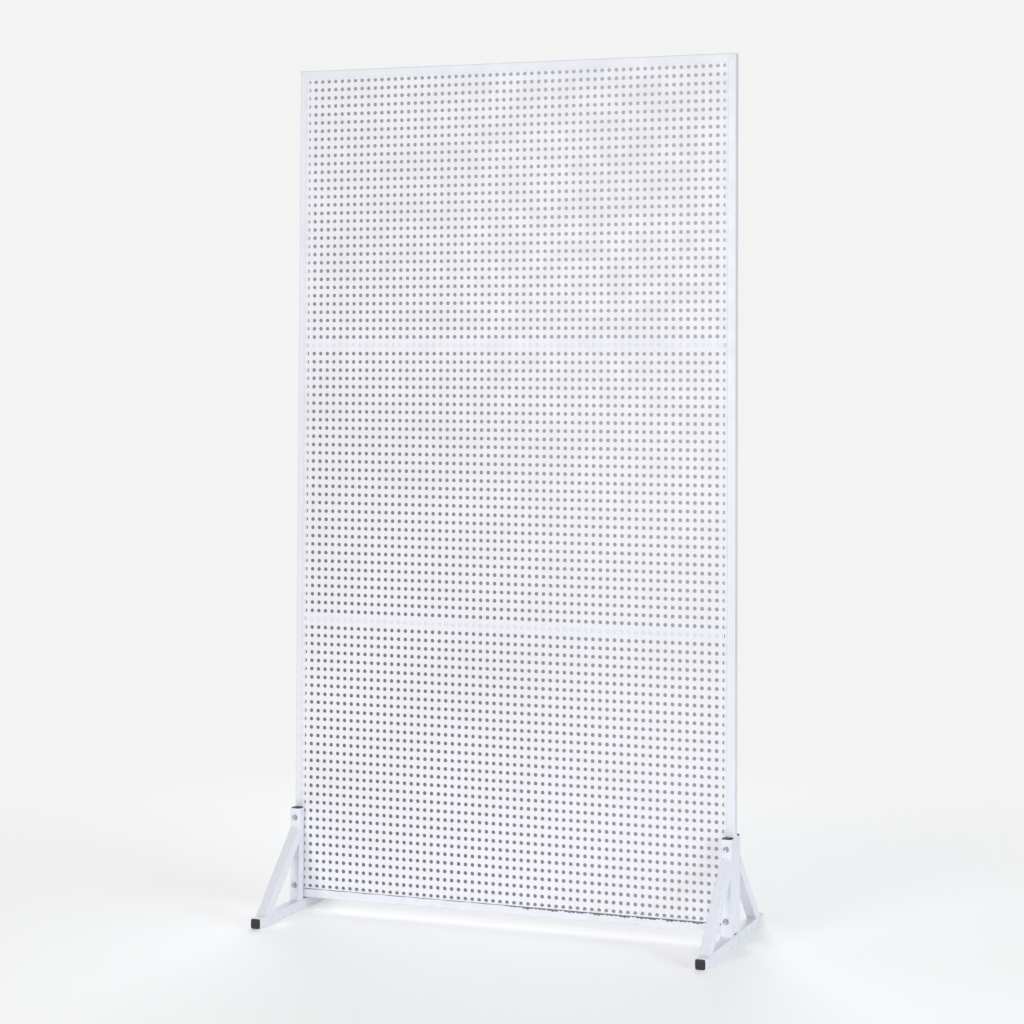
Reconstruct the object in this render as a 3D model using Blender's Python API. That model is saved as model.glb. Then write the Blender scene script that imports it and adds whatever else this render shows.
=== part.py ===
"""Free-standing partition wall: a perforated steel sheet welded to a square-tube frame, bolted into two feet.

Each foot is a welded tube: a base tube, two short posts that clamp the frame's upright between them, and
two slanting braces. Bolts pass from front to back through post, upright and post.

Metres, +Z up. The origin is on the floor, midway across and midway through the frame. The front faces -Y.
"""

import math

import bmesh
import bpy
from mathutils import Matrix

# Perforated sheet: the holes themselves are not cut here, so the sheet is a plain plate of the true size.
HOLE_COLUMNS = 61
HOLE_ROWS = 98
HOLE_PITCH_X = 0.01743
HOLE_PITCH_Z = 0.020
SHEET_THICKNESS = 0.0012
SHEET_EDGE = 0.0065  # from the outermost hole centres to the sheet's edge
BARRED_ROWS = (33, 66)  # rows, counted from the top, that have a crossbar behind them

# Square tube, used for the frame and the feet alike
TUBE = 0.025
TUBE_WALL = 0.0015
TUBE_CORNER = 0.0025
CORNER_STEPS = 3

# Frame
SIDE_MARGIN = 0.0246  # from the outermost column of holes to the frame's outer side
END_MARGIN = 0.028  # the same above the top row and below the bottom one
HOLES_WIDTH = (HOLE_COLUMNS - 1) * HOLE_PITCH_X
HOLES_HEIGHT = (HOLE_ROWS - 1) * HOLE_PITCH_Z
FRAME_WIDTH = HOLES_WIDTH + 2 * SIDE_MARGIN
FRAME_HEIGHT = HOLES_HEIGHT + 2 * END_MARGIN
FRAME_BOTTOM = 0.030
FRAME_TOP = FRAME_BOTTOM + FRAME_HEIGHT

# Feet
BASE_LENGTH = 0.500  # overall, with a plug at each end
POST_TOP = 0.247  # overall, with its plug
BRACE_TOP = 0.199  # where the top of a brace meets its post
BRACE_TOE = 0.221  # how far from the middle a brace lands on its base tube

# Plugs
PLUG_SIDE = 0.0230
PLUG_FLANGE = 0.002
PLUG_CORNER = 0.002
PLUG_DEPTH = 0.014  # of the insert, below the flange
PLUG_WALL = 0.002
INSERT_CORNER = 0.0007

# M6 bolts
BOLT_HEIGHTS = {"upper": 0.223, "lower": 0.062}
BOLT_DIAMETER = 0.006
BOLT_LENGTH = 0.090
BOLT_HOLE = 0.0066
HEX_ACROSS_FLATS = 0.010
HEAD_HEIGHT = 0.004
NUT_HEIGHT = 0.005
WASHER_DIAMETER = 0.012
WASHER_THICKNESS = 0.0016
ROUND_SEGMENTS = 24

GAP = 0.0003  # between neighbouring solids
WELD_DISTANCE = 0.00001

# Places worked out from the sizes above
UPRIGHT_X = (FRAME_WIDTH - TUBE) / 2
BASE_TOP = TUBE
SHEET_FRONT = -(TUBE / 2 + GAP + SHEET_THICKNESS)
POST_INNER = {"front": -SHEET_FRONT + GAP, "rear": TUBE / 2 + GAP}
SIDES = {"left": -1, "right": 1}
ENDS = {"front": -1, "rear": 1}


def clear_scene():
    for obj in list(bpy.data.objects):
        bpy.data.objects.remove(obj, do_unlink=True)


def new_collection(name, helpers=False):
    collection = bpy.data.collections.new(name)
    collection.hide_render = helpers
    bpy.context.scene.collection.children.link(collection)
    return collection


def new_material(name, colour, roughness, metallic=0.0):
    material = bpy.data.materials.new(name)
    material.use_nodes = True
    shader = material.node_tree.nodes["Principled BSDF"]
    shader.inputs["Base Color"].default_value = (*colour, 1.0)
    shader.inputs["Roughness"].default_value = roughness
    shader.inputs["Metallic"].default_value = metallic
    return material


# ---------------------------------------------------------------- outlines


def rounded_square(side, radius):
    """The corner points of a square with rounded corners, centred on the origin."""
    centre = side / 2 - radius
    points = []
    for quarter in range(4):
        middle = math.radians(45 + 90 * quarter)
        corner_x = math.copysign(centre, math.cos(middle))
        corner_y = math.copysign(centre, math.sin(middle))
        for step in range(CORNER_STEPS + 1):
            angle = math.radians(90 * quarter + 90 * step / CORNER_STEPS)
            x = corner_x + radius * math.cos(angle)
            y = corner_y + radius * math.sin(angle)
            points.append((x, y))
    return points


def regular_polygon(diameter, sides):
    points = []
    for step in range(sides):
        angle = 2 * math.pi * step / sides
        points.append((diameter / 2 * math.cos(angle), diameter / 2 * math.sin(angle)))
    return points


def extruded(outlines, thickness):
    """A mesh of the outlines, filled between the outer and the inner one, centred on Z."""
    curve = bpy.data.curves.new("outline", "CURVE")
    curve.dimensions = "2D"
    curve.fill_mode = "BOTH"
    curve.extrude = thickness / 2
    for outline in outlines:
        spline = curve.splines.new("POLY")
        spline.points.add(len(outline) - 1)
        for point, (x, y) in zip(spline.points, outline):
            point.co = (x, y, 0.0, 1.0)
        spline.use_cyclic_u = True
    holder = bpy.data.objects.new("outline", curve)
    bpy.context.scene.collection.objects.link(holder)
    graph = bpy.context.evaluated_depsgraph_get()
    mesh = bpy.data.meshes.new_from_object(holder.evaluated_get(graph))
    bpy.data.objects.remove(holder, do_unlink=True)
    bpy.data.curves.remove(curve)
    shape = bmesh.new()
    shape.from_mesh(mesh)
    bmesh.ops.remove_doubles(shape, verts=shape.verts, dist=WELD_DISTANCE)
    bmesh.ops.recalc_face_normals(shape, faces=shape.faces)
    shape.to_mesh(mesh)
    shape.free()
    return mesh


# ---------------------------------------------------------------- objects


def add_object(name, mesh, collection, material=None):
    mesh.name = name
    obj = bpy.data.objects.new(name, mesh)
    collection.objects.link(obj)
    if material is not None:
        mesh.materials.clear()
        mesh.materials.append(material)
    return obj


def cylinder_mesh(diameter, length):
    """A cylinder along Z, centred on the origin."""
    shape = bmesh.new()
    bmesh.ops.create_cone(
        shape,
        cap_ends=True,
        segments=ROUND_SEGMENTS,
        radius1=diameter / 2,
        radius2=diameter / 2,
        depth=length,
    )
    mesh = bpy.data.meshes.new("cylinder")
    shape.to_mesh(mesh)
    shape.free()
    return mesh


def hide_helper(obj):
    obj.hide_render = True
    obj.display_type = "WIRE"


def add_boolean(obj, other, operation):
    modifier = obj.modifiers.new(f"{operation.lower()} {other.name}", "BOOLEAN")
    modifier.operation = operation
    modifier.solver = "EXACT"
    modifier.object = other


def joined(first, second):
    """One mesh that is the union of two overlapping ones, which are used up."""
    holders = [bpy.data.objects.new(name, mesh) for name, mesh in (("first", first), ("second", second))]
    for holder in holders:
        bpy.context.scene.collection.objects.link(holder)
    add_boolean(holders[0], holders[1], "UNION")
    graph = bpy.context.evaluated_depsgraph_get()
    mesh = bpy.data.meshes.new_from_object(holders[0].evaluated_get(graph))
    for holder in holders:
        bpy.data.objects.remove(holder, do_unlink=True)
    bpy.data.meshes.remove(first)
    bpy.data.meshes.remove(second)
    return mesh


def shade_round(obj):
    obj.data.shade_smooth()
    obj.data.set_sharp_from_angle(angle=math.radians(35))


def square_tube(name, low_end, high_end, kit):
    """A tube along its own Z. Each end is a function giving the height of the cut at a point."""
    inner = TUBE - 2 * TUBE_WALL
    outlines = [rounded_square(TUBE, TUBE_CORNER), rounded_square(inner, TUBE_CORNER - TUBE_WALL)]
    mesh = extruded(outlines, 1.0)
    for vertex in mesh.vertices:
        cut = low_end if vertex.co.z < 0 else high_end
        vertex.co.z = cut(vertex.co.x, vertex.co.y)
    tube = add_object(name, mesh, kit["parts"], kit["powder_coat"])
    shade_round(tube)
    return tube


def straight_tube(name, length, kit):
    return square_tube(name, lambda x, y: -length / 2, lambda x, y: length / 2, kit)


# ---------------------------------------------------------------- the wall panel


def make_uprights(kit):
    """Both uprights, mitred at the ends, each longest along its outer side."""
    half = FRAME_HEIGHT / 2
    uprights = {}
    for side, sign in SIDES.items():
        upright = square_tube(
            f"frame_upright_{side}",
            lambda x, y, s=sign: -half + TUBE / 2 - s * x,
            lambda x, y, s=sign: half - TUBE / 2 + s * x,
            kit,
        )
        upright.location = (sign * UPRIGHT_X, 0, FRAME_BOTTOM + half)
        uprights[side] = upright
    return uprights


def make_rails(kit):
    """The top and bottom rails, longest along their outer sides and mitred to leave a small gap."""
    half = FRAME_WIDTH / 2 - GAP * math.sqrt(2)
    for name, sign in {"top": 1, "bottom": -1}.items():
        rail = square_tube(
            f"frame_rail_{name}",
            lambda x, y, s=sign: -half + TUBE / 2 + s * x,
            lambda x, y, s=sign: half - TUBE / 2 - s * x,
            kit,
        )
        height = FRAME_TOP - TUBE / 2 if sign > 0 else FRAME_BOTTOM + TUBE / 2
        rail.location = (0, 0, height)
        rail.rotation_euler = (0, math.radians(90), 0)


def make_crossbars(kit):
    """The two bars behind the sheet that divide it into three equal bays."""
    top_row = FRAME_TOP - END_MARGIN
    for name, row in zip(("upper", "lower"), BARRED_ROWS):
        bar = straight_tube(f"crossbar_{name}", FRAME_WIDTH - 2 * TUBE - 2 * GAP, kit)
        bar.location = (0, 0, top_row - (row - 1) * HOLE_PITCH_Z)
        bar.rotation_euler = (0, math.radians(90), 0)


def make_sheet(kit):
    shape = bmesh.new()
    bmesh.ops.create_cube(shape, size=1.0)
    size = (HOLES_WIDTH + 2 * SHEET_EDGE, SHEET_THICKNESS, HOLES_HEIGHT + 2 * SHEET_EDGE)
    bmesh.ops.scale(shape, vec=size, verts=shape.verts)
    mesh = bpy.data.meshes.new("perforated_sheet")
    shape.to_mesh(mesh)
    shape.free()
    sheet = add_object("perforated_sheet", mesh, kit["parts"], kit["sheet_coat"])
    middle = (FRAME_BOTTOM + FRAME_TOP) / 2
    sheet.location = (0, SHEET_FRONT + SHEET_THICKNESS / 2, middle)


# ---------------------------------------------------------------- the feet


def make_base(side, sign, kit):
    base = straight_tube(f"foot_{side}_base_tube", BASE_LENGTH - 2 * PLUG_FLANGE - 2 * GAP, kit)
    base.location = (sign * UPRIGHT_X, 0, TUBE / 2)
    base.rotation_euler = (math.radians(90), 0, 0)


def make_post(side, sign, end, direction, kit):
    low = BASE_TOP + GAP
    high = POST_TOP - PLUG_FLANGE - GAP
    post = straight_tube(f"foot_{side}_{end}_post", high - low, kit)
    y = direction * (POST_INNER[end] + TUBE / 2)
    post.location = (sign * UPRIGHT_X, y, (low + high) / 2)
    return post


def make_brace(side, sign, end, direction, kit):
    """A slanting tube, cut level where it lands on the base and upright where it meets its post."""
    face = POST_INNER[end] + TUBE + GAP
    foot_z = BASE_TOP + GAP
    lean = math.atan2(BRACE_TOE - face, BRACE_TOP - foot_z)
    middle_out = (BRACE_TOE + face) / 2 - math.cos(lean) * TUBE / 2
    middle_z = (foot_z + BRACE_TOP) / 2 - math.sin(lean) * TUBE / 2

    def level_cut(x, y):
        return (foot_z - middle_z - direction * y * math.sin(lean)) / math.cos(lean)

    def upright_cut(x, y):
        return (middle_out - face + direction * y * math.cos(lean)) / math.sin(lean)

    brace = square_tube(f"foot_{side}_{end}_brace", level_cut, upright_cut, kit)
    brace.location = (sign * UPRIGHT_X, direction * middle_out, middle_z)
    brace.rotation_euler = (direction * lean, 0, 0)


def plug_mesh():
    """A push-in plug: a square flange on Z = 0, with a hollow square insert below it."""
    insert_side = TUBE - 2 * TUBE_WALL - 2 * GAP
    insert_outlines = [
        rounded_square(insert_side, INSERT_CORNER),
        rounded_square(insert_side - 2 * PLUG_WALL, INSERT_CORNER),
    ]
    overlap = PLUG_FLANGE / 2
    flange = extruded([rounded_square(PLUG_SIDE, PLUG_CORNER)], PLUG_FLANGE)
    flange.transform(Matrix.Translation((0, 0, PLUG_FLANGE / 2)))
    insert = extruded(insert_outlines, PLUG_DEPTH + overlap)
    insert.transform(Matrix.Translation((0, 0, (overlap - PLUG_DEPTH) / 2)))
    return joined(flange, insert)


def make_plugs(side, sign, kit):
    x = sign * UPRIGHT_X
    for end, direction in ENDS.items():
        base_plug = add_object(f"foot_{side}_base_plug_{end}", plug_mesh(), kit["parts"], kit["black_plastic"])
        base_plug.location = (x, direction * (BASE_LENGTH / 2 - PLUG_FLANGE), TUBE / 2)
        base_plug.rotation_euler = (-direction * math.radians(90), 0, 0)
        shade_round(base_plug)
        post_plug = add_object(f"foot_{side}_post_plug_{end}", plug_mesh(), kit["parts"], kit["black_plastic"])
        post_y = direction * (POST_INNER[end] + TUBE / 2)
        post_plug.location = (x, post_y, POST_TOP - PLUG_FLANGE)
        shade_round(post_plug)


# ---------------------------------------------------------------- the fasteners


def hexagon():
    return regular_polygon(HEX_ACROSS_FLATS / math.cos(math.radians(30)), 6)


def along_y(obj, x, y, z):
    obj.location = (x, y, z)
    obj.rotation_euler = (math.radians(90), 0, 0)


def bolt_mesh():
    """A hex bolt along Z: its head seats on Z = 0, from above, and its shank runs down from there."""
    overlap = HEAD_HEIGHT / 2
    head = extruded([hexagon()], HEAD_HEIGHT)
    head.transform(Matrix.Translation((0, 0, HEAD_HEIGHT / 2)))
    shank = cylinder_mesh(BOLT_DIAMETER, BOLT_LENGTH + overlap)
    shank.transform(Matrix.Translation((0, 0, (overlap - BOLT_LENGTH) / 2)))
    return joined(head, shank)


def make_bolt(prefix, x, z, outer, kit):
    """A hex bolt with its head at the front, along Y, and its washers and nut."""
    front = -outer["front"] - GAP
    rear = outer["rear"] + GAP
    seat = front - WASHER_THICKNESS - GAP
    bolt = add_object(f"{prefix}_bolt", bolt_mesh(), kit["parts"], kit["zinc"])
    along_y(bolt, x, seat, z)
    shade_round(bolt)

    rings = [regular_polygon(WASHER_DIAMETER, ROUND_SEGMENTS), regular_polygon(BOLT_HOLE, ROUND_SEGMENTS)]
    washers = {"front": front - WASHER_THICKNESS / 2, "rear": rear + WASHER_THICKNESS / 2}
    for end, y in washers.items():
        washer = extruded(rings, WASHER_THICKNESS)
        obj = add_object(f"{prefix}_washer_{end}", washer, kit["parts"], kit["zinc"])
        along_y(obj, x, y, z)
        shade_round(obj)

    nut_mesh = extruded([hexagon(), regular_polygon(BOLT_HOLE, ROUND_SEGMENTS)], NUT_HEIGHT)
    nut = add_object(f"{prefix}_nut", nut_mesh, kit["parts"], kit["zinc"])
    along_y(nut, x, rear + WASHER_THICKNESS + GAP + NUT_HEIGHT / 2, z)
    shade_round(nut)


def drill(members, prefix, x, z, depth, kit):
    """One round cutter along Y, taken from every member that the bolt passes through."""
    cutter = add_object(f"{prefix}_hole", cylinder_mesh(BOLT_HOLE, depth), kit["helpers"])
    along_y(cutter, x, 0, z)
    hide_helper(cutter)
    for member in members:
        add_boolean(member, cutter, "DIFFERENCE")


def make_foot(side, sign, upright, kit):
    x = sign * UPRIGHT_X
    make_base(side, sign, kit)
    posts = []
    for end, direction in ENDS.items():
        posts.append(make_post(side, sign, end, direction, kit))
        make_brace(side, sign, end, direction, kit)
    make_plugs(side, sign, kit)
    outer = {end: POST_INNER[end] + TUBE for end in ENDS}
    for name, z in BOLT_HEIGHTS.items():
        prefix = f"foot_{side}_{name}"
        drill([*posts, upright], prefix, x, z, 4 * TUBE, kit)
        make_bolt(prefix, x, z, outer, kit)


def main():
    clear_scene()
    kit = {
        "parts": new_collection("partition_wall"),
        "helpers": new_collection("cutters", helpers=True),
        "powder_coat": new_material("white_powder_coat", (0.80, 0.82, 0.88), 0.42),
        "sheet_coat": new_material("white_sheet_coat", (0.84, 0.85, 0.90), 0.45),
        "black_plastic": new_material("black_plastic", (0.012, 0.012, 0.014), 0.5),
        "zinc": new_material("zinc", (0.45, 0.46, 0.48), 0.35, 1.0),
    }
    uprights = make_uprights(kit)
    make_rails(kit)
    make_crossbars(kit)
    make_sheet(kit)
    for side, sign in SIDES.items():
        make_foot(side, sign, uprights[side], kit)


main()
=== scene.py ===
"""Looks for the partition wall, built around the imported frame.

Metres, +Z up, the wall's front towards -Y. Every new piece is made in world coordinates with its object at
the origin, as the CAD nodes are, so "Object" texture coordinates are metres everywhere.
"""

import math

import bmesh
import bpy
import numpy as np
from mathutils import Matrix, Vector


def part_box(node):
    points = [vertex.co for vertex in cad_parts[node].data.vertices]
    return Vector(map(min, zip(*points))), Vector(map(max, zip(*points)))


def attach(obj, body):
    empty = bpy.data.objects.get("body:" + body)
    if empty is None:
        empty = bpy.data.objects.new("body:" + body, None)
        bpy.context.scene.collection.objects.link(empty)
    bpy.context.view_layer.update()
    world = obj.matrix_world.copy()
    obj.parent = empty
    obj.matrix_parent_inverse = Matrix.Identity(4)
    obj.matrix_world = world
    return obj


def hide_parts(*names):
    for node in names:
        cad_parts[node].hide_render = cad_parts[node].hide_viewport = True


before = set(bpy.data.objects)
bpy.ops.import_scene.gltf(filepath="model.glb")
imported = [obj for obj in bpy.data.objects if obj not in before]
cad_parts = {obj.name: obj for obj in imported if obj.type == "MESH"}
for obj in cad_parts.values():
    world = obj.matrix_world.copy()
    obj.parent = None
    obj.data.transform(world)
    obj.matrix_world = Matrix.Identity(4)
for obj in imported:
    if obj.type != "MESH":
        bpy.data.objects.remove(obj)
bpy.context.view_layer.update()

# Perforated sheet
HOLE_COLUMNS = 61
HOLE_ROWS = 98
HOLE_PITCH_X = 0.01743
HOLE_PITCH_Z = 0.020
HOLE_DIAMETER = 0.0095
HOLE_SIDES = 16
BANDS = {"upper": (66, 98), "middle": (33, 66), "lower": (0, 33)}  # rows, counted from the bottom
SHEET_RIPPLE = 0.00012  # how far the sheet wanders forward, away from its edges
RIPPLE_FADE_X = 0.10  # the wandering fades out over this width at the sheet's sides
RIPPLE_FADE_Z = 0.12  # and over this height at its top and bottom
LIFT = 0.0009  # how far its lower edge stands off the bottom rail, on the right half
LIFT_GROWS = 0.10  # width over which the lift grows, from the wall's middle
LIFT_ENDS = (0.03, 0.09)  # distances from the right edge between which it ends
LIFT_HEIGHT = 0.07

# The dark strip under the sheet's lower edge, painted shade for the gap between the sheet and the bottom
# rail
SEAM_THIN = 0.0022  # greatest height on the left half
SEAM_THICK = 0.0072  # and on the right half, where it is ragged
SEAM_CHANGE = (-0.03, 0.06)  # it thickens between these places across the wall
SEAM_DEPTH = 0.0006  # how far it stands out from the bottom rail
SEAM_SUNK = 0.0002  # how far its back lies inside the rail's face
SEAM_INSET = 0.004  # from the sheet's sides
SEAM_CLEAR = 0.0001  # below the sheet
SEAM_SOFT_TOP = 0.0002
SEAM_SOFT_FOOT = 0.0003
SEAM_POINTS = 700
SEAM_TAPER = 6.0  # points over which each end thins out

# Welds
BEAD_RADIUS = 0.0019
BEAD_STEP = 0.0007
BEAD_SIDES = 10
BEAD_INSET = 1.3 * BEAD_RADIUS  # from a foot's side faces
BEAD_RIPPLE_PITCH = 0.0021
BEAD_RIPPLE = 0.07  # as a share of the radius
SEAT_UP = 0.0003  # height of the beads' middles above a base tube
POST_OUT = 0.0006  # how far a post's bead lies out from the post
TOE_OUT = 0.0002  # and the toe's bead, out from a brace
BRACE_OUT = 0.0008  # and the bead at a brace's top, out from the post
BRACE_UP = 0.0004  # and above the brace
INNER_SHORT = 0.002  # how far the bead on a post's inner side stops short of the frame
CROSSBAR_INSET = 0.003  # from a crossbar's edges
CROSSBAR_SUNK = 0.0003  # below its rear face
MITRE_RADIUS = 0.0006
MITRE_SUNK = 0.0004
MITRE_INSET = 0.0022  # from the outer corner
MITRE_PAST = 0.0005  # past the inner corner

# M6 fasteners
ACROSS_FLATS = 0.010
HEX_CORNER = ACROSS_FLATS / 2 / math.cos(math.radians(30))
HEX_CHAMFER = 0.00045
HEX_SIDES = 72
HEAD_HEIGHT = 0.004
SHANK_RADIUS = 0.003
SHANK_SIDES = 24
THREAD_PITCH = 0.001
THREAD_DEPTH = 0.00055
THREAD_LENGTH = 0.024
SHANK_CHAMFER = 0.0005
WASHER_BORE = 0.0033
WASHER_SOFT = 0.0003
WASHER_SIDES = 48

# Plugs
PLUG_SQUARENESS = 5.0  # the exponent of the plug's outline
PLUG_SIDES = 64
PLUG_FLANGE = 0.002
PLUG_INSERT = 0.0107  # half the insert's nominal width
RIB_CREST = 0.0001  # how far the ribs' crests lie inside that
RIB_VALLEY = 0.0006  # and the insert between the ribs
RIBS = (  # where each rib starts, peaks and ends, with the flange's seat at 0
    (-0.0105, -0.0098, -0.0092),
    (-0.0070, -0.0063, -0.0057),
    (-0.0032, -0.0025, -0.0018),
)

# Colours
FRAME_WHITE = (0.80, 0.81, 0.875, 1.0)
FRAME_DUST = (0.62, 0.61, 0.60, 1.0)
SHEET_WHITE = (0.84, 0.835, 0.885, 1.0)
SHEET_DUST = (0.55, 0.53, 0.51, 1.0)
WORN_EDGE = (0.52, 0.53, 0.56, 1.0)
WELD_WHITE = (0.74, 0.76, 0.81, 1.0)
WELD_GRIME = (0.50, 0.49, 0.49, 1.0)
# the seam's colours are painted shade for the gap under the sheet's lower edge
SEAM_DARK = (0.10, 0.095, 0.10, 1.0)
SEAM_PALE = (0.24, 0.235, 0.25, 1.0)
PLASTIC_BLACK = (0.011, 0.011, 0.013, 1.0)
PLASTIC_SCUFF = (0.06, 0.06, 0.065, 1.0)
ZINC_LIGHT = (0.50, 0.50, 0.52, 1.0)
ZINC_DARK = (0.32, 0.32, 0.34, 1.0)
ZINC_RUBBED = (0.62, 0.62, 0.63, 1.0)
FLOOR_DARK = (0.90, 0.90, 0.90, 1.0)
FLOOR_LIGHT = (0.92, 0.92, 0.92, 1.0)
PURE_WHITE = (1.0, 1.0, 1.0, 1.0)
CARD_TINT = (0.97, 0.97, 1.0, 1.0)
BACKDROP = (0.896, 0.896, 0.896, 1.0)

# The stage
ROOM_LIGHT = 0.40  # how strongly the surroundings light the wall, against how bright they look
FLOOR_REACH = 14.0
FLOOR_SOLID = 1.0  # the floor starts to fade at this distance from the middle
FLOOR_GONE = 2.6  # and has faded out at this one
FLOOR_GLOW = 0.17
LIGHT_TARGET = (0.0, 0.0, 1.0)
LIGHTS = (  # name, place, side, power, colour
    ("key", (-1.6, -6.5, 2.2), 3.2, 226.0, (1.0, 0.995, 0.985)),
    ("fill", (4.6, -1.6, 1.4), 2.6, 104.0, (0.88, 0.965, 1.0)),
    ("rear", (-1.6, 4.4, 3.2), 2.8, 120.0, (0.97, 0.98, 1.0)),
)

# A glowing card of painted shade that stands for the darker room behind the holes, paler towards the upper
# right. It is staging and not
# part of the wall, which has no backing: only the camera sees it, and only from the front. Without it the
# holes look almost as pale as the backdrop.
SHOW_HOLE_SHADE_CARD = True
CARD_DARK = 0.205  # brightness at the lower left
CARD_LIGHT = 0.48  # brightness at the upper right
CARD_BEHIND = 0.0003  # how far it lies behind the front of the uprights

# The camera tilts up a little, and its frame is shifted down so that the whole wall stays in the picture.
CAMERA_PLACE = (2.0051, -5.3882, 1.2813)
CAMERA_YAW = 20.410
CAMERA_PITCH = 1.901
CAMERA_ROLL = 0.274
CAMERA_LENS = 85.745
CAMERA_SENSOR = 36.0
CAMERA_SHIFT = -0.21000


# ---------------------------------------------------------------- materials


class Shader:
    """A material whose nodes are added one call at a time."""

    def __init__(self, name):
        self.material = bpy.data.materials.new(name)
        self.material.use_nodes = True
        self.tree = self.material.node_tree
        self.surface = self.tree.nodes["Principled BSDF"]
        self.place = self.tree.nodes.new("ShaderNodeTexCoord").outputs["Object"]

    def put(self, socket, value):
        """Sets an input to a number or colour, or links another node's output to it."""
        if isinstance(value, bpy.types.NodeSocket):
            self.tree.links.new(value, socket)
        else:
            socket.default_value = value

    def node(self, kind, inputs=None, **settings):
        """Adds a node. inputs holds values and other nodes' outputs, by the name or number of the input."""
        made = self.tree.nodes.new(kind)
        for key, value in settings.items():
            setattr(made, key, value)
        for key, value in (inputs or {}).items():
            self.put(made.inputs[key], value)
        return made

    def stretched(self, scale):
        return self.node("ShaderNodeMapping", {"Vector": self.place, "Scale": scale}).outputs["Vector"]

    def noise(self, scale, detail=2.0, roughness=0.5, place=None):
        inputs = {"Vector": place or self.place, "Scale": scale, "Detail": detail, "Roughness": roughness}
        return self.node("ShaderNodeTexNoise", inputs).outputs["Fac"]

    def ranged(self, value, from_low, from_high, to_low, to_high):
        """Maps a value smoothly from one range onto another, and holds it at the ends."""
        inputs = {
            "Value": value,
            "From Min": from_low,
            "From Max": from_high,
            "To Min": to_low,
            "To Max": to_high,
        }
        return self.node("ShaderNodeMapRange", inputs, interpolation_type="SMOOTHSTEP").outputs["Result"]

    def math(self, operation, first, second):
        return self.node("ShaderNodeMath", {0: first, 1: second}, operation=operation).outputs["Value"]

    def mix(self, share, first, second):
        inputs = {"Factor": share, "A": first, "B": second}
        return self.node("ShaderNodeMix", inputs, data_type="RGBA").outputs["Result"]

    def axes(self):
        """The point's own X, Y and Z, by those names."""
        return self.node("ShaderNodeSeparateXYZ", {"Vector": self.place}).outputs

    def edges(self, radius):
        """Near 1 along sharp or tightly rounded edges, 0 on flat faces."""
        bevel = self.node("ShaderNodeBevel", {"Radius": radius}, samples=4)
        flat = self.node("ShaderNodeNewGeometry").outputs["True Normal"]
        inputs = {0: bevel.outputs["Normal"], 1: flat}
        dot = self.node("ShaderNodeVectorMath", inputs, operation="DOT_PRODUCT")
        return self.ranged(dot.outputs["Value"], 0.995, 0.90, 0.0, 1.0)

    def bump(self, height, strength, distance):
        made = self.node("ShaderNodeBump", {"Height": height, "Strength": strength, "Distance": distance})
        self.put(self.surface.inputs["Normal"], made.outputs["Normal"])

    def finish(self, colour, roughness, metallic=0.0):
        self.put(self.surface.inputs["Base Color"], colour)
        self.put(self.surface.inputs["Roughness"], roughness)
        self.put(self.surface.inputs["Metallic"], metallic)
        return self.material


def powder_coat(name, colour, dust, roughness):
    """White polyester powder coat: fine orange peel, cloudy tone, thin edges and dust low down."""
    s = Shader(name)
    peel = s.noise(520.0, detail=2.0)
    swell = s.noise(95.0, detail=1.0)
    s.bump(s.math("ADD", peel, swell), strength=0.35, distance=0.00006)
    cloud = s.ranged(s.noise(2.4, detail=4.0), 0.30, 0.70, 0.0, 1.0)
    dark = tuple(0.955 * channel for channel in colour[:3]) + (1.0,)
    tone = s.mix(cloud, dark, colour)
    thin = s.ranged(s.noise(60.0, detail=3.0), 0.50, 0.72, 0.0, 0.35)
    tone = s.mix(s.math("MULTIPLY", s.edges(0.0009), thin), tone, WORN_EDGE)
    low = s.ranged(s.axes()["Z"], 0.11, 0.0, 0.0, 1.0)
    speck = s.ranged(s.noise(38.0, detail=6.0, roughness=0.65), 0.42, 0.75, 0.0, 0.5)
    tone = s.mix(s.math("MULTIPLY", low, speck), tone, dust)
    gloss = s.ranged(s.noise(17.0, detail=3.0), 0.30, 0.70, roughness - 0.05, roughness + 0.07)
    return s.finish(tone, gloss)


def coated_weld(name):
    """Weld metal under the same coat, a little duller, with grey left in patches."""
    s = Shader(name)
    s.bump(s.noise(700.0, detail=3.0), strength=0.4, distance=0.00008)
    grime = s.ranged(s.noise(240.0, detail=4.0), 0.42, 0.70, 0.0, 0.30)
    tone = s.mix(grime, WELD_WHITE, WELD_GRIME)
    return s.finish(tone, s.ranged(s.noise(150.0), 0.3, 0.7, 0.42, 0.60))


def painted_seam_shade(name):
    """Painted shade for the gap between the sheet and the bottom rail: a dark, patchy, matte tone."""
    s = Shader(name)
    s.bump(s.noise(900.0, detail=4.0), strength=0.5, distance=0.0001)
    patch = s.ranged(s.noise(140.0, detail=4.0), 0.35, 0.68, 0.0, 1.0)
    tone = s.mix(patch, SEAM_DARK, SEAM_PALE)
    return s.finish(tone, s.ranged(patch, 0.0, 1.0, 0.70, 0.85))


def moulded_plastic(name):
    """Black polyethylene: a fine moulded grain, with paler scuffs across it."""
    s = Shader(name)
    s.bump(s.noise(1900.0, detail=2.0), strength=0.30, distance=0.00004)
    scratch = s.noise(1.0, detail=5.0, roughness=0.7, place=s.stretched((900.0, 60.0, 240.0)))
    tone = s.mix(s.ranged(scratch, 0.60, 0.78, 0.0, 0.35), PLASTIC_BLACK, PLASTIC_SCUFF)
    return s.finish(tone, s.ranged(s.noise(120.0, detail=3.0), 0.3, 0.7, 0.40, 0.58))


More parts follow.
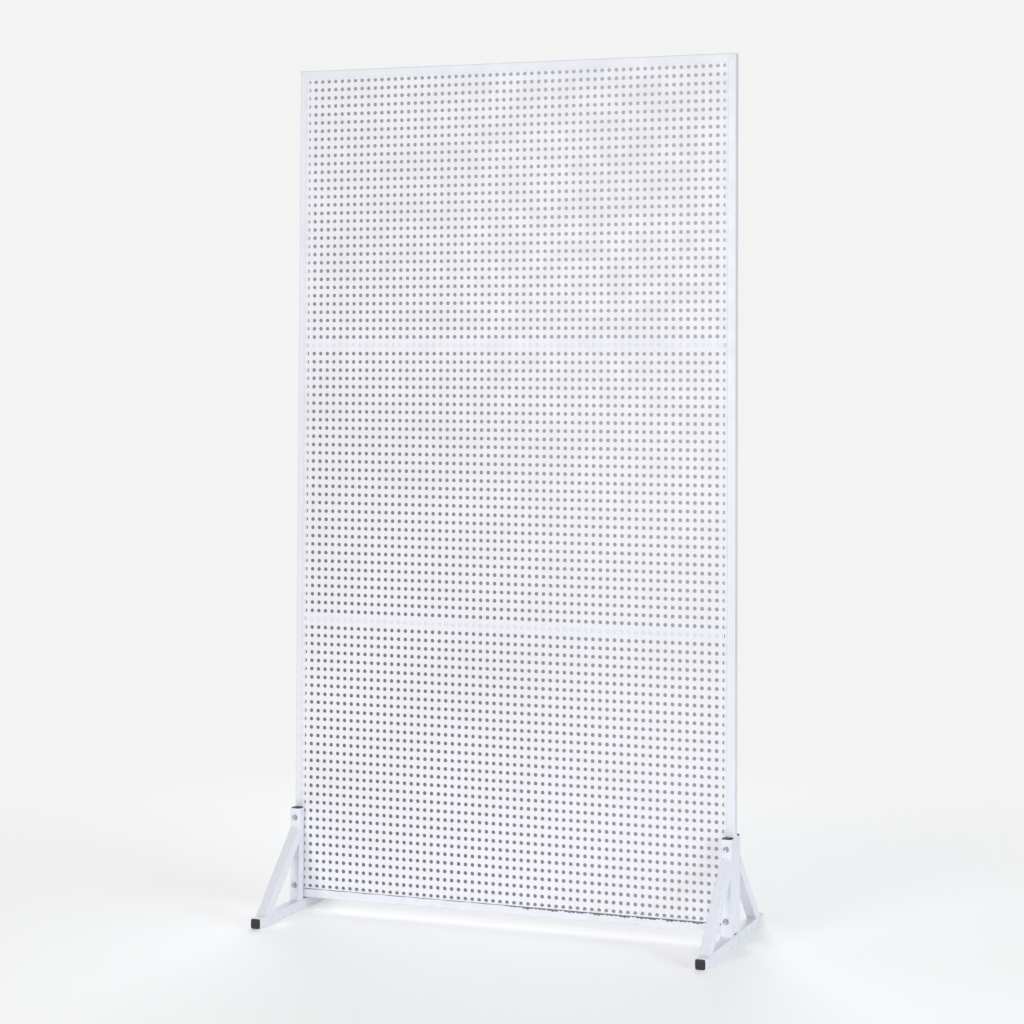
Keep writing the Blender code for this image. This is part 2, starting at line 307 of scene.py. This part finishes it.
def zinc_plate(name):
    """Zinc plate: turning marks, a mottled crystal tone and rubbed edges."""
    s = Shader(name)
    marks = s.noise(1.0, detail=3.0, place=s.stretched((1800.0, 500.0, 1800.0)))
    s.bump(marks, strength=0.25, distance=0.00003)
    mottle = s.ranged(s.noise(420.0, detail=4.0), 0.32, 0.68, 0.0, 1.0)
    tone = s.mix(mottle, ZINC_DARK, ZINC_LIGHT)
    tone = s.mix(s.math("MULTIPLY", s.edges(0.0004), 0.45), tone, ZINC_RUBBED)
    return s.finish(tone, s.ranged(mottle, 0.0, 1.0, 0.42, 0.30), metallic=1.0)


def plain_floor(name):
    """A pale floor that fades out into the backdrop, so that no horizon shows."""
    s = Shader(name)
    s.bump(s.noise(45.0, detail=3.0), strength=0.05, distance=0.0002)
    s.finish(s.mix(s.noise(0.9, detail=2.0), FLOOR_DARK, FLOOR_LIGHT), 0.75)
    s.put(s.surface.inputs["Emission Color"], PURE_WHITE)
    s.put(s.surface.inputs["Emission Strength"], FLOOR_GLOW)
    distance = s.node("ShaderNodeVectorMath", {0: s.place}, operation="LENGTH").outputs["Value"]
    s.put(s.surface.inputs["Alpha"], s.ranged(distance, FLOOR_SOLID, FLOOR_GONE, 1.0, 0.0))
    return s.material


def painted_hole_shade(name, left, right, low, high):
    """Painted shade as a glow that pales towards the upper right, seen only by the camera and only from the
    front.
    """
    s = Shader(name)
    place = s.axes()
    sideways = s.math("MULTIPLY", s.ranged(place["X"], left, right, 0.0, 1.0), 0.5)
    upwards = s.math("MULTIPLY", s.ranged(place["Z"], low, high, 0.0, 1.0), 0.5)
    # the painted shade: darkest at the lower left, palest at the upper right
    shade = s.ranged(s.math("ADD", sideways, upwards), 0.0, 1.0, CARD_DARK, CARD_LIGHT)
    glow = s.node("ShaderNodeEmission", {"Color": CARD_TINT, "Strength": shade}).outputs["Emission"]
    in_front = s.math("SUBTRACT", 1.0, s.node("ShaderNodeNewGeometry").outputs["Backfacing"])
    seen = s.math("MULTIPLY", s.node("ShaderNodeLightPath").outputs["Is Camera Ray"], in_front)
    clear = s.node("ShaderNodeBsdfTransparent").outputs["BSDF"]
    mixed = s.node("ShaderNodeMixShader", {"Fac": seen, 1: clear, 2: glow}).outputs["Shader"]
    s.put(s.tree.nodes["Material Output"].inputs["Surface"], mixed)
    return s.material


MATERIALS = {
    "white_powder_coat": powder_coat("white_powder_coat", FRAME_WHITE, FRAME_DUST, 0.40),
    "white_sheet_coat": powder_coat("white_sheet_coat", SHEET_WHITE, SHEET_DUST, 0.44),
    "black_plastic": moulded_plastic("black_plastic"),
    "zinc": zinc_plate("zinc"),
}
WELD_COAT = coated_weld("weld_coat")
# painted shade for the gap under the sheet's lower edge
SEAM_SHADE_PAINT = painted_seam_shade("painted_seam_shade")


# ---------------------------------------------------------------- pieces


def add_piece(name, mesh, material, replaced=()):
    piece = bpy.data.objects.new(name, mesh)
    bpy.context.scene.collection.objects.link(piece)
    mesh.materials.append(material)
    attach(piece, "root")
    if replaced:
        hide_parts(*replaced)


def mesh_of(name, points, faces):
    mesh = bpy.data.meshes.new(name)
    mesh.from_pydata([tuple(p) for p in points], [], [tuple(f) for f in faces])
    mesh.update()
    return mesh


def outward(mesh):
    """Turns every face of a closed mesh outwards."""
    shape = bmesh.new()
    shape.from_mesh(mesh)
    bmesh.ops.recalc_face_normals(shape, faces=shape.faces)
    shape.to_mesh(mesh)
    shape.free()


def shade_round(mesh, degrees):
    """Shades smooth, apart from edges that turn by more than this angle."""
    mesh.shade_smooth()
    mesh.set_sharp_from_angle(angle=math.radians(degrees))


def ring_faces(rings, sides, closed=False):
    """Faces between rings of points listed one after the other.

    The two end rings are capped, or joined to each other if closed.
    """
    faces = []
    for ring in range(rings if closed else rings - 1):
        a = ring * sides
        b = (ring + 1) % rings * sides
        for k in range(sides):
            n = (k + 1) % sides
            faces.append((a + k, a + n, b + n, b + k))
    if not closed:
        faces.append(tuple(range(sides))[::-1])
        faces.append(tuple((rings - 1) * sides + k for k in range(sides)))
    return faces


def merged(shapes):
    """The points and faces of several shapes as one."""
    points = []
    faces = []
    for more_points, more_faces in shapes:
        offset = len(points)
        points += [tuple(p) for p in more_points]
        faces += [tuple(offset + v for v in face) for face in more_faces]
    return points, faces


# ---------------------------------------------------------------- the perforated sheet


def smooth_step(value, low, high):
    share = np.clip((value - low) / (high - low), 0.0, 1.0)
    return share * share * (3.0 - 2.0 * share)


def sheet_offset(x, z, low, high):
    """How far forward the sheet stands at a point: a faint ripple, and a lifted lower edge on the right."""
    inside = smooth_step(np.minimum(x - low.x, high.x - x), 0.0, RIPPLE_FADE_X)
    inside = inside * smooth_step(np.minimum(z - low.z, high.z - z), 0.0, RIPPLE_FADE_Z)
    ripple = 0.5 + 0.25 * np.sin(5.1 * x + 2.3 * z + 0.4) + 0.25 * np.sin(3.7 * z - 2.9 * x + 1.1)
    lift = smooth_step(x, 0.0, LIFT_GROWS) * smooth_step(high.x - x, *LIFT_ENDS)
    lift = lift * (0.75 + 0.25 * np.sin(61.0 * x) * np.sin(23.0 * x))
    lift = lift * (1.0 - smooth_step(z - low.z, 0.0, LIFT_HEIGHT))
    return SHEET_RIPPLE * ripple * inside + LIFT * lift


def perforated_band(first_row, last_row, low, high):
    """The points and faces of some rows of the sheet, closed all round, with every hole cut through.

    Each hole has a cell of its own, with four corners. The outermost cells reach to the sheet's edges.
    """
    rows = last_row - first_row
    column, row = np.meshgrid(np.arange(HOLE_COLUMNS), np.arange(rows))
    column = column.ravel()
    row = row.ravel()
    cells = len(column)

    grid_i, grid_j = np.meshgrid(np.arange(HOLE_COLUMNS + 1), np.arange(rows + 1))
    first_x = (low.x + high.x - (HOLE_COLUMNS - 1) * HOLE_PITCH_X) / 2
    first_z = (low.z + high.z - (HOLE_ROWS - 1) * HOLE_PITCH_Z) / 2
    line_x = first_x + (np.arange(HOLE_COLUMNS + 1) - 0.5) * HOLE_PITCH_X
    line_z = first_z + (np.arange(HOLE_ROWS + 1) - 0.5) * HOLE_PITCH_Z
    line_x[[0, -1]] = low.x, high.x
    line_z[[0, -1]] = low.z, high.z
    corner_x = line_x[grid_i.ravel()]
    corner_z = line_z[grid_j.ravel() + first_row]
    angle = 2.0 * np.pi * np.arange(HOLE_SIDES) / HOLE_SIDES
    centre_x = first_x + column * HOLE_PITCH_X
    centre_z = first_z + (row + first_row) * HOLE_PITCH_Z
    ring_x = (centre_x[:, None] + HOLE_DIAMETER / 2 * np.cos(angle)).ravel()
    ring_z = (centre_z[:, None] + HOLE_DIAMETER / 2 * np.sin(angle)).ravel()

    x = np.concatenate([corner_x, ring_x])
    z = np.concatenate([corner_z, ring_z])
    offset = sheet_offset(x, z, low, high)
    front = np.stack([x, low.y - offset, z], axis=1)
    back = np.stack([x, high.y - offset, z], axis=1)
    points = np.concatenate([front, back])
    behind = len(x)
    corners = len(corner_x)

    def corner(i, j):
        return j * (HOLE_COLUMNS + 1) + i

    def ring(k):
        return corners + np.arange(cells) * HOLE_SIDES + k % HOLE_SIDES

    around = [
        corner(column + 1, row + 1),
        corner(column, row + 1),
        corner(column, row),
        corner(column + 1, row),
    ]
    quarter = HOLE_SIDES // 4
    triangles = []
    walls = []
    for k in range(HOLE_SIDES):
        triangles.append((ring(k), around[k // quarter], ring(k + 1)))
        walls.append((ring(k), ring(k + 1), ring(k + 1) + behind, ring(k) + behind))
    for q in range(4):
        triangles.append((ring((q + 1) * quarter), around[q], around[(q + 1) % 4]))
    triangles = np.concatenate([np.stack(t, axis=1) for t in triangles])
    walls = np.concatenate([np.stack(w, axis=1) for w in walls])

    i = np.arange(HOLE_COLUMNS)
    j = np.arange(rows)
    bottom = (corner(i, 0), corner(i, 0) + behind, corner(i + 1, 0) + behind, corner(i + 1, 0))
    top = (corner(i, rows), corner(i + 1, rows), corner(i + 1, rows) + behind, corner(i, rows) + behind)
    left = (corner(0, j), corner(0, j + 1), corner(0, j + 1) + behind, corner(0, j) + behind)
    last = HOLE_COLUMNS
    right = (corner(last, j), corner(last, j) + behind, corner(last, j + 1) + behind, corner(last, j + 1))
    edges = np.concatenate([np.stack(side, axis=1) for side in (bottom, top, left, right)])

    faces = triangles.tolist()
    faces += (triangles[:, ::-1] + behind).tolist()
    faces += walls.tolist()
    faces += edges.tolist()
    return points, faces


def make_sheet():
    low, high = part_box("perforated_sheet")
    slot = "white_sheet_coat"
    for band, (first_row, last_row) in BANDS.items():
        name = f"sheet_{band}"
        mesh = mesh_of(name, *perforated_band(first_row, last_row, low, high))
        add_piece(name, mesh, MATERIALS[slot], ("perforated_sheet",))


def make_seam():
    """A dark strip of painted shade along the sheet's lower edge: thin on the left half, thick and ragged
    on the right.
    """
    sheet_low, sheet_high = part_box("perforated_sheet")
    rail_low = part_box("frame_rail_bottom")[0]
    x = np.linspace(sheet_low.x + SEAM_INSET, sheet_high.x - SEAM_INSET, SEAM_POINTS)
    share = smooth_step(x, *SEAM_CHANGE)
    wavy = 0.8 + 0.2 * np.sin(83.0 * x)
    ragged = 0.60 + 0.26 * np.sin(145.0 * x + 0.8) * np.sin(37.0 * x) + 0.14 * np.sin(611.0 * x + 2.0)
    height = SEAM_THIN * (1.0 - share) * wavy + SEAM_THICK * share * ragged
    number = np.arange(SEAM_POINTS)
    from_end = np.minimum(number, SEAM_POINTS - 1 - number)
    height = height * np.clip(from_end / SEAM_TAPER, 0.05, 1.0)
    top = np.full(SEAM_POINTS, sheet_low.z - SEAM_CLEAR)
    back = rail_low.y + SEAM_SUNK
    front = rail_low.y - SEAM_DEPTH
    strands = [
        (front + SEAM_SOFT_TOP, top),
        (front, top - 0.3 * height),
        (front + SEAM_SOFT_FOOT, top - height),
        (back, top - height),
        (back, top),
    ]
    points = [(x[k], y, z[k]) for k in range(SEAM_POINTS) for y, z in strands]
    mesh = mesh_of("sheet_seam", points, ring_faces(SEAM_POINTS, len(strands)))
    outward(mesh)
    shade_round(mesh, 50)
    # the strip is painted shade, not a part of the wall
    add_piece("sheet_seam", mesh, SEAM_SHADE_PAINT)


# ---------------------------------------------------------------- welds


def bead(start, end, seed, radius):
    """A rippled weld bead from start to end, with rounded ends."""
    start = np.array(start, float)
    end = np.array(end, float)
    length = np.linalg.norm(end - start)
    along = (end - start) / length
    side = np.cross(along, (0.0, 0.0, 1.0) if abs(along[2]) < 0.9 else (1.0, 0.0, 0.0))
    side = side / np.linalg.norm(side)
    up = np.cross(side, along)
    rings = int(length / BEAD_STEP) + 2
    distance = np.linspace(0.0, length, rings)
    from_end = np.minimum(distance, length - distance)
    taper = np.sqrt(np.clip(1.0 - (1.0 - from_end / radius) ** 2, 0.02, 1.0))
    taper = np.where(from_end > radius, 1.0, taper)
    wander = 1.0 + 0.06 * np.sin(distance * 410.0 + seed) + 0.05 * np.sin(distance * 1030.0 + 2.0 * seed)
    ripple = 1.0 + BEAD_RIPPLE * np.cos(2.0 * np.pi * distance / BEAD_RIPPLE_PITCH)
    scale = radius * taper * wander * ripple
    angle = 2.0 * np.pi * np.arange(BEAD_SIDES) / BEAD_SIDES
    circle = np.cos(angle)[:, None] * side + np.sin(angle)[:, None] * up
    points = (start + distance[:, None] * along)[:, None, :] + scale[:, None, None] * circle[None]
    return points.reshape(-1, 3), ring_faces(rings, BEAD_SIDES)


def joined_beads(name, runs, radius=BEAD_RADIUS):
    beads = [bead(start, end, 1.7 * number, radius) for number, (start, end) in enumerate(runs)]
    mesh = mesh_of(name, *merged(beads))
    outward(mesh)
    shade_round(mesh, 60)
    add_piece(name, mesh, WELD_COAT)


def make_foot_welds():
    for side in ("left", "right"):
        base_low, base_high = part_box(f"foot_{side}_base_tube")
        tube = base_high.z - base_low.z
        seat = base_high.z + SEAT_UP
        for end, direction in (("front", -1), ("rear", 1)):
            post_low, post_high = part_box(f"foot_{side}_{end}_post")
            brace_low, brace_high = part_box(f"foot_{side}_{end}_brace")
            post_out, post_in = (post_low.y, post_high.y) if direction < 0 else (post_high.y, post_low.y)
            toe = brace_low.y if direction < 0 else brace_high.y
            lean = math.atan2(abs(toe - post_out), brace_high.z - base_high.z)
            heel = toe - direction * tube / math.cos(lean)
            crook = brace_high.z - tube / math.sin(lean)
            crosswise = (
                (post_out + direction * POST_OUT, seat),
                (toe + direction * TOE_OUT, seat),
                (heel, seat),
                (post_out + direction * BRACE_OUT, brace_high.z + BRACE_UP),
                (post_out, crook),
            )
            runs = []
            for y, z in crosswise:
                runs.append(((base_low.x + BEAD_INSET, y, z), (base_high.x - BEAD_INSET, y, z)))
            inner_x = post_high.x if side == "left" else post_low.x
            runs.append(((inner_x, post_in + direction * INNER_SHORT, seat), (inner_x, post_out, seat)))
            joined_beads(f"weld_foot_{side}_{end}", runs)


def make_crossbar_welds():
    for name in ("lower", "upper"):
        low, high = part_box(f"crossbar_{name}")
        rear = high.y - CROSSBAR_SUNK
        runs = []
        for x in (low.x, high.x):
            runs.append(((x, rear, low.z + CROSSBAR_INSET), (x, rear, high.z - CROSSBAR_INSET)))
            for z in (low.z, high.z):
                runs.append(((x, low.y + CROSSBAR_INSET, z), (x, high.y - CROSSBAR_INSET, z)))
        joined_beads(f"weld_crossbar_{name}", runs)


def make_mitre_welds():
    """Flat dressed welds that close the frame's mitres at the front and rear."""
    for end, z_sign in (("top", 1), ("bottom", -1)):
        rail_low, rail_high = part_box(f"frame_rail_{end}")
        outer_z, inner_z = (rail_high.z, rail_low.z) if z_sign > 0 else (rail_low.z, rail_high.z)
        for side, x_sign in (("left", -1), ("right", 1)):
            post_low, post_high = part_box(f"frame_upright_{side}")
            outer_x, inner_x = (post_high.x, post_low.x) if x_sign > 0 else (post_low.x, post_high.x)
            runs = []
            for y in (rail_low.y + MITRE_SUNK, rail_high.y - MITRE_SUNK):
                start = (outer_x - x_sign * MITRE_INSET, y, outer_z - z_sign * MITRE_INSET)
                runs.append((start, (inner_x + x_sign * MITRE_PAST, y, inner_z + z_sign * MITRE_PAST)))
            joined_beads(f"weld_mitre_{end}_{side}", runs, MITRE_RADIUS)


# ---------------------------------------------------------------- fasteners


def hexed(angle, radius):
    """Limits a turned shape to a hexagon, which leaves the curved chamfer of a real head or nut."""
    turn = (angle + math.pi / 6) % (math.pi / 3) - math.pi / 6
    return min(radius, ACROSS_FLATS / 2 / math.cos(turn))


def rounded(angle, radius):
    """Leaves a turned shape round."""
    return radius


def turned(profile, sides, outline=rounded, bore=None):
    """Points and faces of a closed shape turned about Z, with a round hole through it if a bore is given.

    The profile is (radius, z) from the lower end to the upper one. outline gives the radius at an angle.
    """
    rings = [(radius, z, outline) for radius, z in profile]
    if bore:
        rings += [(bore, profile[-1][1], rounded), (bore, profile[0][1], rounded)]
    points = []
    for radius, z, shape in rings:
        for k in range(sides):
            angle = 2.0 * math.pi * k / sides
            reach = shape(angle, radius)
            points.append((reach * math.cos(angle), reach * math.sin(angle), z))
    return points, ring_faces(len(rings), sides, closed=bore is not None)


def fastener_piece(name, shapes, place, replaced):
    """Adds turned shapes as one zinc piece, with their local Z turned to the front, which is -Y."""
    towards = Matrix.Translation(place) @ Matrix.Rotation(math.radians(90), 4, "X")
    points, faces = merged(shapes)
    mesh = mesh_of(name, [towards @ Vector(p) for p in points], faces)
    outward(mesh)
    shade_round(mesh, 35)
    add_piece(name, mesh, MATERIALS["zinc"], (replaced,))


def make_bolt(prefix):
    low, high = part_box(f"{prefix}_bolt")
    middle = (low + high) / 2
    tip = low.y + HEAD_HEIGHT - high.y
    valley = SHANK_RADIUS - THREAD_DEPTH
    shank = [(SHANK_RADIUS - 0.0007, tip), (valley, tip + SHANK_CHAMFER)]
    z = tip + SHANK_CHAMFER
    while z < tip + THREAD_LENGTH:
        shank.append((valley, z + 0.1 * THREAD_PITCH))
        shank.append((SHANK_RADIUS, z + 0.5 * THREAD_PITCH))
        shank.append((valley, z + 0.95 * THREAD_PITCH))
        z += THREAD_PITCH
    shank.append((SHANK_RADIUS, z + 0.8 * THREAD_PITCH))
    shank.append((SHANK_RADIUS, 0.0005))  # a little way into the head
    head = [
        (0.94 * ACROSS_FLATS / 2, 0.0),
        (HEX_CORNER - 0.0002, 0.0003),
        (HEX_CORNER, 0.0006),
        (HEX_CORNER, HEAD_HEIGHT - HEX_CHAMFER),
        (0.95 * ACROSS_FLATS / 2, HEAD_HEIGHT),
        (0.60 * ACROSS_FLATS / 2, HEAD_HEIGHT),
        (0.50 * ACROSS_FLATS / 2, HEAD_HEIGHT - 0.00022),
    ]
    shapes = [turned(shank, SHANK_SIDES), turned(head, HEX_SIDES, hexed)]
    place = (middle.x, low.y + HEAD_HEIGHT, middle.z)
    fastener_piece(f"{prefix}_hex_bolt", shapes, place, f"{prefix}_bolt")


def make_nut(prefix):
    low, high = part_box(f"{prefix}_nut")
    flat = 0.95 * ACROSS_FLATS / 2
    half = (high.y - low.y) / 2
    chamfered = half - HEX_CHAMFER
    profile = [(flat, -half), (HEX_CORNER, -chamfered), (HEX_CORNER, chamfered), (flat, half)]
    shapes = [turned(profile, HEX_SIDES, hexed, SHANK_RADIUS)]
    fastener_piece(f"{prefix}_hex_nut", shapes, (low + high) / 2, f"{prefix}_nut")


def make_washer(prefix, end):
    name = f"{prefix}_washer_{end}"
    low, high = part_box(name)
    outer = (high.z - low.z) / 2
    half = (high.y - low.y) / 2
    profile = [
        (outer - WASHER_SOFT, -half),
        (outer, -half + WASHER_SOFT),
        (outer, half - WASHER_SOFT),
        (outer - WASHER_SOFT, half),
    ]
    shapes = [turned(profile, WASHER_SIDES, bore=WASHER_BORE)]
    fastener_piece(f"{name}_round", shapes, (low + high) / 2, name)


# ---------------------------------------------------------------- plugs


def plug_outline(half):
    """A square with soft corners, as points around the origin."""
    points = []
    for k in range(PLUG_SIDES):
        angle = 2.0 * math.pi * (k + 0.5) / PLUG_SIDES
        c, s = math.cos(angle), math.sin(angle)
        reach = half / (abs(c) ** PLUG_SQUARENESS + abs(s) ** PLUG_SQUARENESS) ** (1.0 / PLUG_SQUARENESS)
        points.append((reach * c, reach * s))
    return points


def make_plug(name, direction):
    """A push-in plug: crowned flange with a soft edge, and an insert with three gripping ribs."""
    low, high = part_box(name)
    axis = Vector(direction)
    size = high - low
    rim = size.x / 2
    tip = PLUG_FLANGE - abs(axis.dot(size))
    crest = PLUG_INSERT - RIB_CREST
    valley = PLUG_INSERT - RIB_VALLEY
    profile = [(PLUG_INSERT - 0.0012, tip), (PLUG_INSERT - 0.0004, tip + 0.0006)]
    for start, peak, end in RIBS:
        profile += [(valley, start), (crest, peak), (valley, end)]
    profile += [
        (valley, 0.0),
        (rim - 0.0002, 0.0),
        (rim, 0.0003),
        (rim, 0.0009),
        (rim - 0.0003, 0.0014),
        (rim - 0.0009, 0.00175),
        (rim - 0.0022, 0.0019),
        (rim * 0.55, 0.00197),
        (rim * 0.2, PLUG_FLANGE),
    ]
    points = [(x, y, z) for half, z in profile for x, y in plug_outline(half)]
    middle = (low + high) / 2
    outer = Vector((high[i] if axis[i] > 0 else low[i] if axis[i] < 0 else middle[i] for i in range(3)))
    seat = outer - axis * PLUG_FLANGE
    towards = Matrix.Translation(seat) @ axis.to_track_quat("Z", "Y").to_matrix().to_4x4()
    faces = ring_faces(len(profile), PLUG_SIDES)
    mesh = mesh_of(f"{name}_moulded", [towards @ Vector(p) for p in points], faces)
    shade_round(mesh, 40)
    add_piece(f"{name}_moulded", mesh, MATERIALS["black_plastic"], (name,))


# ---------------------------------------------------------------- the stage


def stage_plane(name, corners, material):
    mesh = mesh_of(name, corners, [(0, 1, 2, 3)])
    mesh.materials.append(material)
    plane = bpy.data.objects.new(name, mesh)
    bpy.context.scene.collection.objects.link(plane)


def make_floor():
    reach = FLOOR_REACH
    corners = [(-reach, -reach, 0), (reach, -reach, 0), (reach, reach, 0), (-reach, reach, 0)]
    stage_plane("floor", corners, plain_floor("plain_floor"))


def make_hole_shade_card():
    """A card of painted shade that fills the frame's opening close behind the sheet. The crossbars' faces
    stay in front of it.
    """
    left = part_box("frame_upright_left")[1].x
    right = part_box("frame_upright_right")[0].x
    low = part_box("frame_rail_bottom")[1].z
    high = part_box("frame_rail_top")[0].z
    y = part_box("frame_upright_right")[0].y + CARD_BEHIND
    corners = [(left, y, low), (right, y, low), (right, y, high), (left, y, high)]
    stage_plane("hole_shade_card", corners, painted_hole_shade("hole_shade_card", left, right, low, high))


def soft_light(name, place, side, power, colour):
    data = bpy.data.lights.new(name, "AREA")
    data.shape = "RECTANGLE"
    data.size = side
    data.size_y = side
    data.energy = power
    data.color = colour
    light = bpy.data.objects.new(name, data)
    light.location = place
    light.rotation_mode = "QUATERNION"
    light.rotation_quaternion = (Vector(LIGHT_TARGET) - Vector(place)).to_track_quat("-Z", "Y")
    bpy.context.scene.collection.objects.link(light)


def make_room():
    """Pale surroundings, which light the wall less strongly than they look."""
    world = bpy.data.worlds.new("studio")
    world.use_nodes = True
    tree = world.node_tree
    background = tree.nodes["Background"]
    background.inputs["Color"].default_value = BACKDROP
    path = tree.nodes.new("ShaderNodeLightPath")
    strength = tree.nodes.new("ShaderNodeMapRange")
    strength.inputs["To Min"].default_value = ROOM_LIGHT
    strength.inputs["To Max"].default_value = 1.0
    tree.links.new(path.outputs["Is Camera Ray"], strength.inputs["Value"])
    tree.links.new(strength.outputs["Result"], background.inputs["Strength"])
    bpy.context.scene.world = world


def make_camera():
    data = bpy.data.cameras.new("camera")
    data.sensor_width = CAMERA_SENSOR
    data.lens = CAMERA_LENS
    camera = bpy.data.objects.new("camera", data)
    camera.location = CAMERA_PLACE
    camera.rotation_mode = "XYZ"
    turn = Matrix.Rotation(math.radians(CAMERA_YAW), 3, "Z")
    turn = turn @ Matrix.Rotation(math.radians(90.0 + CAMERA_PITCH), 3, "X")
    turn = turn @ Matrix.Rotation(math.radians(CAMERA_ROLL), 3, "Z")
    camera.rotation_euler = turn.to_euler("XYZ")
    bpy.context.scene.collection.objects.link(camera)
    bpy.context.scene.camera = camera
    # The shift belongs to this viewpoint only. Other views turn the camera with a quaternion, whose mode
    # number is 0.
    driver = data.driver_add("shift_y").driver
    variable = driver.variables.new()
    variable.name = "mode"
    variable.targets[0].id = camera
    variable.targets[0].data_path = "rotation_mode"
    driver.type = "SCRIPTED"
    driver.expression = f"{CAMERA_SHIFT} * (mode > 0)"


def main():
    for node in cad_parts.values():
        slot_name = node.material_slots[0].material.name.split(".")[0]
        node.material_slots[0].material = MATERIALS[slot_name]
    make_sheet()
    make_seam()
    make_foot_welds()
    make_crossbar_welds()
    make_mitre_welds()
    for side in ("left", "right"):
        for height in ("lower", "upper"):
            prefix = f"foot_{side}_{height}"
            make_bolt(prefix)
            make_nut(prefix)
            make_washer(prefix, "front")
            make_washer(prefix, "rear")
        for end, y in (("front", -1.0), ("rear", 1.0)):
            make_plug(f"foot_{side}_base_plug_{end}", (0.0, y, 0.0))
            make_plug(f"foot_{side}_post_plug_{end}", (0.0, 0.0, 1.0))
    make_floor()
    # the card is painted shade seen through the holes
    if SHOW_HOLE_SHADE_CARD:
        make_hole_shade_card()
    for name, place, side, power, colour in LIGHTS:
        soft_light(name, place, side, power, colour)
    make_room()
    make_camera()
    bpy.context.scene.view_settings.view_transform = "Standard"


main()
